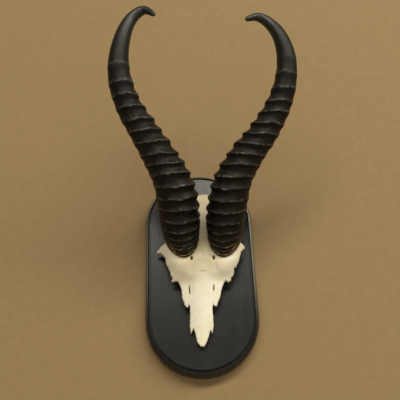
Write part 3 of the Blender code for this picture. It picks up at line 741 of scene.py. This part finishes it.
FOOT_BLEND = (0.9, 1.85)  # in foot radii: all foot plane, all free bone
SEAT_HEIGHT, SEAT_FALL = 18.3, 5.0
LIP_WIDTH, LIP_DROP, LIP_BACK_SHARE = 1.0, 0.85, 0.7
GAP_LIP_START = 0.5
THINNEST_BONE = 0.35
NERVE_PITS = [(-9.9, 3.2), (16.9, 2.6)]
PIT_RADIUS, PIT_STRETCH, PIT_DEPTH = 1.35, 2.2, 6.0
PIT_WALL = (0.75, 1.25)  # shares of the radius: the pit's floor, its rim

# %% Distances on the map


def table_at(pairs, values):
    places, sizes = zip(*pairs)
    return np.interp(values, places, sizes)


def nearest_stretch(x, z, starts, ends):
    """Distance of each place to the nearest of some straight stretches."""
    nearest = np.full(len(x), np.inf)
    for start, end in zip(starts, ends):
        run = end - start
        along = (x - start[0]) * run[0] + (z - start[1]) * run[1]
        part = np.clip(along / max(run @ run, 1e-12), 0.0, 1.0)
        away = np.hypot(start[0] + run[0] * part - x, start[1] + run[1] * part - z)
        nearest = np.minimum(nearest, away)
    return nearest


def edge_distances(x, z, outline):
    """Distance of each place to a closed outline."""
    return nearest_stretch(x, z, outline, np.roll(outline, -1, axis=0))


def inside(x, z, outline):
    """Whether each place is inside a closed outline, by counting crossings to its right."""
    odd = np.zeros(len(x), bool)
    for (x1, z1), (x2, z2) in zip(outline, np.roll(outline, -1, axis=0)):
        if z1 != z2:
            odd ^= ((z1 > z) != (z2 > z)) & (x < x1 + (z - z1) * (x2 - x1) / (z2 - z1))
    return odd


def hump(x, z, place, wide, tall):
    """A soft round rise of height 1 about a place."""
    return np.exp(-(((x - place[0]) / wide) ** 2) - ((z - place[1]) / tall) ** 2)


def groove(x, z, path, width):
    """1 along a path, falling to 0 at its width."""
    spots = np.array(path, float)
    return 1.0 - ease(0.0, width, nearest_stretch(x, z, spots, spots[1:]))


def wavy(path, amount, seed):
    """A path in steps of about 1 mm with a small fixed zigzag, as a seam between bones has."""
    places = []
    shift = np.random.default_rng(seed)
    for start, end in zip(np.array(path, float), np.array(path[1:], float)):
        run = end - start
        count = max(int(np.linalg.norm(run) / 1.1), 1)
        across = np.array((run[1], -run[0])) / np.linalg.norm(run)
        for step in range(count):
            places.append(start + run * step / count + across * shift.uniform(-amount, amount))
    return [tuple(place) for place in places] + [tuple(path[-1])]


# %% Heights of the skull
BROW_SEAM = [(-14.4, -26), (-10.5, -17), (-5, -9), (3, -5.5), (10.5, -9.5), (14.6, -18), (15.6, -28)]
SEAMS = [  # path, width and depth
    (wavy([(-1.2, -97), (0.2, -60), (2.4, -22)], 0.25, 1), 0.7, 0.07),
    (wavy([(3.6, 3), (4.6, 22), (6.0, 45), (7.2, 72), (8.0, 94)], 0.7, 2), 0.8, 0.1),
    (wavy(BROW_SEAM, 0.6, 3), 0.8, 0.06),
]
CHANNELS = [
    ([(-9.9, 3.6), (-11.0, -4), (-12.4, -13)], 4.0, 0.55),
    ([(16.9, 2.8), (18.2, -5), (19.6, -13)], 4.0, 0.55),
]
HOLLOWS = [((-24.0, -3.0), 6.5, 4.0, 0.5), ((27.0, -3.5), 6.0, 4.0, 0.5)]  # place, half sizes, depth
BOSS, BOSS_HEIGHT = (3.4, -9.6), 0.9
CREASE = [(BOSS[0] - 2.8, BOSS[1] - 4.2), (BOSS[0] + 3.0, BOSS[1] - 4.3)]
CREASE_WIDTH, CREASE_DEPTH = 1.0, 0.5


def skull_fronts(x, z):
    """Heights of the front, and how deep in a hollow each place is."""
    side = np.abs(x - (AXIS_X + AXIS_LEAN * z))
    front = table_at(MIDDLE_HEIGHT, z)
    bridge = np.where(side < 13.0, 3.0 * (side / 13.0) ** 2, 3.0 + 0.35 * (side - 13.0))
    brow = 15.0 * ease(17.0, 56.0, side) + 6.0 * ease(20.0, 36.0, side) * ease(50.0, 66.0, z)
    front = front - bridge + (bridge - brow) * ease(-26.0, -12.0, z)
    hollow = np.zeros(len(x))
    for path, width, depth in SEAMS:
        line = groove(x, z, path, width)
        front = front - depth * line
        hollow = np.maximum(hollow, depth * line)
    for path, width, depth in CHANNELS:
        front = front - depth * groove(x, z, path, width)
    for place, wide, tall, depth in HOLLOWS:
        front = front - depth * hump(x, z, place, wide, tall)
    ring = hump(x, z, BOSS, 2.6, 2.2) - hump(x, z, BOSS, 1.5, 1.2)
    crease = CREASE_DEPTH * groove(x, z, CREASE, CREASE_WIDTH)
    front = front + BOSS_HEIGHT * ring - crease
    hollow = np.maximum(hollow, crease)
    return front, hollow


def near_feet(x, z, front):
    """Brings the bone to the plane of each horn's rim."""
    for points in HORN_ROUTES.values():
        foot_x, height, foot_z, width = points[0]
        below = (foot_z - z) / (0.5 * width * FOOT_STRETCH)
        pinch = 1.0 - FOOT_PINCH * ease(-0.2, 1.0, below)
        away = np.hypot((x - foot_x) / pinch, (z - foot_z) / FOOT_STRETCH) / (0.5 * width)
        plane = height - (z - foot_z) * math.tan(RIM_LEAN)
        near = 1.0 - ease(*FOOT_BLEND, away)
        under = np.where(away < FOOT_INSIDE, -UNDER_SHEATH, -FOOT_STEP)
        front = front + (plane + under - front) * near
    return front


def skull_heights(x, z):
    """Heights of the front and back, and the share of hollow, at each place."""
    front, hollow = skull_fronts(x, z)
    front = near_feet(x, z, front)
    edge = edge_distances(x, z, skull_edge)
    for gap in gap_edges:
        edge = np.minimum(edge, GAP_LIP_START + edge_distances(x, z, gap))
    thickness = EDGE_THICKNESS + (FOREHEAD_THICKNESS - EDGE_THICKNESS) * ease(2.0, 14.0, edge)
    front = np.maximum(front, SEAT_HEIGHT + EDGE_THICKNESS)
    side = np.abs(x - (AXIS_X + AXIS_LEAN * z))
    width = table_at(SEAT_HALF_WIDTH, z)
    outside = np.where(z < SEAT_HALF_WIDTH[0][0], 1.0, ease(width, width + SEAT_FALL, side))
    back = SEAT_HEIGHT + (np.maximum(front - thickness, SEAT_HEIGHT) - SEAT_HEIGHT) * outside
    # Broken bone has a rounded lip: both sides close in on the last millimetre
    short_of_lip = 1.0 - np.clip(edge / LIP_WIDTH, 0.0, 1.0)
    lip = LIP_DROP * (1.0 - np.sqrt(1.0 - short_of_lip**2))
    # Each pit is also marked as hollow, which the bone finish paints dark as shade
    for place in NERVE_PITS:
        away = np.hypot(x - place[0], (z - place[1]) / PIT_STRETCH) / PIT_RADIUS
        pit = 1.0 - ease(*PIT_WALL, away)
        front = front - PIT_DEPTH * pit
        hollow = np.maximum(hollow, pit)
    front = front - lip
    back = np.where(outside > 0.02, back + lip * LIP_BACK_SHARE, back)
    return front, np.minimum(back, front - THINNEST_BONE), hollow


# %% [markdown]
# ## Skull cap
# The map needs a net of small triangles that ends exactly on the ragged edge. A square grid
# would leave steps there, so a Delaunay triangulation joins the edge's points with points
# spread evenly inside. The net is used twice, for the front and the back, and a strip
# between them closes the edge. Two bores then let the screws in from behind.
# %% Skull net
NET_STEP = 0.95
EDGE_CLEARANCE, GAP_CLEARANCE, PIT_CLEARANCE = 0.45, 0.4, 0.5  # inner points keep off by this
PIT_RINGS = (0.35, 0.75, 1.0, 1.25)  # shares of the radius
PIT_SIDES = 14


def skull_net():
    """Flat points and triangles inside the outline and outside the gaps."""
    places = [tuple(place) for place in skull_edge]
    edges = [(i, (i + 1) % len(places)) for i in range(len(places))]
    for gap in gap_edges:
        first = len(places)
        places += [tuple(place) for place in gap]
        edges += [(first + i, first + (i + 1) % len(gap)) for i in range(len(gap))]
    for place in NERVE_PITS:
        for share in PIT_RINGS:
            for angle in np.linspace(0.0, FULL_TURN, PIT_SIDES + 1)[:-1]:
                across = share * PIT_RADIUS * math.cos(angle)
                along = share * PIT_RADIUS * PIT_STRETCH * math.sin(angle)
                places.append((place[0] + across, place[1] + along))
    low, high = skull_edge.min(axis=0), skull_edge.max(axis=0)
    rise = NET_STEP * 0.866
    grid = []
    for row in range(int((high[1] - low[1]) / rise) + 1):
        start = low[0] + (NET_STEP / 2.0 if row % 2 else 0.0)
        grid += [(x, low[1] + row * rise) for x in np.arange(start, high[0], NET_STEP)]
    x, z = np.array(grid).T
    clear = edge_distances(x, z, skull_edge)
    keep = inside(x, z, skull_edge) & (clear > EDGE_CLEARANCE)
    for gap in gap_edges:
        keep &= ~inside(x, z, gap) & (edge_distances(x, z, gap) > GAP_CLEARANCE)
    for place in NERVE_PITS:
        away = np.hypot(x - place[0], (z - place[1]) / PIT_STRETCH)
        keep &= away > PIT_RINGS[-1] * PIT_RADIUS + PIT_CLEARANCE
    places += list(zip(x[keep], z[keep]))
    found = delaunay_2d_cdt([Vector(place) for place in places], edges, [], 1, 1e-7)
    plan = np.array([tuple(place) for place in found[0]])
    faces = np.array([face for face in found[2] if len(face) == 3])
    middles = plan[faces].mean(axis=1)
    keep = inside(middles[:, 0], middles[:, 1], skull_edge)
    for gap in gap_edges:
        keep &= ~inside(middles[:, 0], middles[:, 1], gap)
    return plan, faces[keep]


def skull_mesh():
    plan, faces = skull_net()
    used = np.unique(faces)
    renumber = np.zeros(len(plan), int)
    renumber[used] = np.arange(len(used))
    plan, faces = plan[used], renumber[faces]
    front, back, hollow = skull_heights(plan[:, 0], plan[:, 1])
    count = len(plan)
    corners = np.vstack([
        np.column_stack([plan[:, 0], -front, plan[:, 1]]),
        np.column_stack([plan[:, 0], -back, plan[:, 1]]),
    ]) * MM
    skin = [tuple(face) for face in faces] + [tuple(face[::-1] + count) for face in faces]
    ways = {(int(a), int(b)) for face in faces for a, b in zip(face, np.roll(face, -1))}
    skin += [(b, a, a + count, b + count) for a, b in ways if (b, a) not in ways]
    mesh = bpy.data.meshes.new("skull_cap")
    mesh.from_pydata([tuple(corner) for corner in corners], [], skin)
    store_numbers(mesh, "hollow", np.tile(hollow, 2))
    mesh.materials.append(bone)
    mesh.shade_smooth()
    return mesh


# %% [markdown]
# The bores could be two more gaps in the net, but they end inside the bone. A Boolean
# takes a closed round cutter out of the cap for each of them.
# %% Skull piece
SCREW_PLACES = [(7.0, 66.0), (2.5, -21.0)]
BORE_RADIUS, BORE_SIDES = 2.3, 24
BORE_ENDS = (16.0, 28.6)  # heights above the wall


def bore_mesh(place):
    """A closed round cutter that goes into the skull from its back."""
    work = bmesh.new()
    ends = []
    for height in BORE_ENDS:
        end = []
        for side in range(BORE_SIDES):
            angle = FULL_TURN * side / BORE_SIDES
            x = place[0] + BORE_RADIUS * math.cos(angle)
            z = place[1] + BORE_RADIUS * math.sin(angle)
            end.append(work.verts.new(Vector((x, -height, z)) * MM))
        ends.append(end)
    for i in range(BORE_SIDES):
        j = (i + 1) % BORE_SIDES
        work.faces.new((ends[0][i], ends[0][j], ends[1][j], ends[1][i]))
    for end in ends:
        work.faces.new(end)
    bmesh.ops.recalc_face_normals(work, faces=work.faces)
    mesh = bpy.data.meshes.new("bore")
    work.to_mesh(mesh)
    work.free()
    return mesh


raw_skull = bpy.data.objects.new("raw_skull", skull_mesh())
scene.collection.objects.link(raw_skull)
cutters = []
for index, place in enumerate(SCREW_PLACES):
    bore = bpy.data.objects.new("bore_%d" % index, bore_mesh(place))
    scene.collection.objects.link(bore)
    boolean = raw_skull.modifiers.new("bore", "BOOLEAN")
    boolean.object = bore
    boolean.solver = "EXACT"
    cutters.append(bore)
graph = bpy.context.evaluated_depsgraph_get()
bored = bpy.data.meshes.new_from_object(raw_skull.evaluated_get(graph))
for helper in [raw_skull, *cutters]:
    bpy.data.objects.remove(helper)
skull = add_piece("skull_cap", bored)
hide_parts("skull")
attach(skull, "root")

# %% [markdown]
# ## Wall, floor and light
# The mount hangs on a plain wall over a pale floor. The wall is only a backdrop. A solid one
# would hide the back, so it is plain from the front, clear from behind, and open behind the
# board, where a ring of faces leads from the hole to the wall's ends.
# %% Stage


def plain_paint(name, colour, one_way=False):
    made, bench, shader = new_finish(name)
    place = bench.add("ShaderNodeTexCoord", out="Object")
    grain = bench.noise(place, 90.0, 6.0, 0.72)
    darker, paler = (tuple(share * part for part in colour) for share in (0.95, 1.05))
    tint = bench.blend(bench.ease(0.3, 0.7, grain), darker, paler)
    give_finish(bench, shader, tint, 0.85, grain, 0.0004, 0.3)
    if one_way:
        behind = bench.add("ShaderNodeNewGeometry", out="Backfacing")
        clear = bench.add("ShaderNodeBsdfTransparent")
        front = Wire(bench, shader.outputs["BSDF"])
        mixed = bench.add("ShaderNodeMixShader", None, {0: behind, 1: front, 2: clear})
        bench.put(made.node_tree.nodes["Material Output"].inputs["Surface"], mixed)
    return made


def stage_mesh(name, corners, finish):
    mesh = bpy.data.meshes.new(name)
    mesh.from_pydata(corners, [], [tuple(range(len(corners)))])
    mesh.materials.append(finish)
    made = bpy.data.objects.new(name, mesh)
    scene.collection.objects.link(made)
    return made


WALL_COLOUR = (0.272, 0.183, 0.083)
WALL_GAP = 0.6 * MM  # between the board's back and the wall
WALL_HALF_WIDTH, WALL_RISE = 2.0, 2.2
CORNER_SPREAD = 1.6  # the more, the more of the ring ends on the wall's sides
FLOOR_LEVEL, FLOOR_HALF = -1.2, 4.0
HOLE_INSET, HOLE_SIDES = 2.0 * MM, 48
plaque_low, plaque_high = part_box("plaque")
hole_half = (plaque_high.x - plaque_low.x) / 2.0 - HOLE_INSET
hole_rise = (plaque_high.z - plaque_low.z) / 2.0 - HOLE_INSET - hole_half
wall_mesh = bpy.data.meshes.new("wall")
work = bmesh.new()
inner, outer = [], []
for step in range(HOLE_SIDES):
    angle = FULL_TURN * (step + 0.5) / HOLE_SIDES
    x = hole_half * math.cos(angle)
    z = math.copysign(hole_rise, math.sin(angle)) + hole_half * math.sin(angle)
    inner.append(work.verts.new((x, WALL_GAP, z)))
    spread = min(CORNER_SPREAD * abs(x) / hole_half, 1.0)
    far_x = WALL_HALF_WIDTH * math.copysign(spread, x)
    far_z = max(FLOOR_LEVEL, WALL_RISE * z / (hole_half + hole_rise))
    outer.append(work.verts.new((far_x, WALL_GAP, far_z)))
for i in range(HOLE_SIDES):
    j = (i + 1) % HOLE_SIDES
    work.faces.new((inner[i], inner[j], outer[j], outer[i]))
for face in work.faces:
    face.normal_update()
if sum(face.normal.y * face.calc_area() for face in work.faces) > 0.0:
    bmesh.ops.reverse_faces(work, faces=work.faces)
work.to_mesh(wall_mesh)
work.free()
wall_mesh.materials.append(plain_paint("wall_paint", WALL_COLOUR, one_way=True))
wall = bpy.data.objects.new("wall", wall_mesh)
scene.collection.objects.link(wall)
corner_signs = [(-1.0, -1.0), (1.0, -1.0), (1.0, 1.0), (-1.0, 1.0)]
floor_corners = [(FLOOR_HALF * x, FLOOR_HALF * y, FLOOR_LEVEL) for x, y in corner_signs]
stage_mesh("floor", floor_corners, plain_paint("floor_paint", (0.62, 0.57, 0.48)))

# %% [markdown]
# The light is warm and soft and comes from above and in front: one wide area light makes
# the broad shadows on the wall, and a weak one from below and a dim sky keep them open.
# %% Lights
LIGHTS = [  # name, place, aim, wide and tall in metres, power in watts, colour
    ("ceiling_light", (0.8, -2.4, 1.68), (0.0, -0.05, -0.05), 5.2, 0.7, 122.0, (1.0, 0.95, 0.82)),
    ("low_fill", (0.6, -2.4, -0.4), (0.0, 0.0, 0.0), 2.0, 1.0, 7.5, (1.0, 0.95, 0.84)),
]
for name, place, aim, wide, tall, power, colour in LIGHTS:
    lamp = bpy.data.lights.new(name, "AREA")
    lamp.shape = "RECTANGLE"
    lamp.size = wide
    lamp.size_y = tall
    lamp.energy = power
    lamp.color = colour
    holder = bpy.data.objects.new(name, lamp)
    holder.location = place
    holder.rotation_euler = (Vector(aim) - Vector(place)).to_track_quat("-Z", "Y").to_euler()
    scene.collection.objects.link(holder)
world = bpy.data.worlds.new("studio")
world.use_nodes = True
sky = world.node_tree.nodes["Background"]
sky.inputs["Color"].default_value = (1.0, 0.95, 0.87, 1.0)
sky.inputs["Strength"].default_value = 0.15
scene.world = world
scene.view_settings.view_transform = "Standard"
print("lights:", ", ".join(entry[0] for entry in LIGHTS))
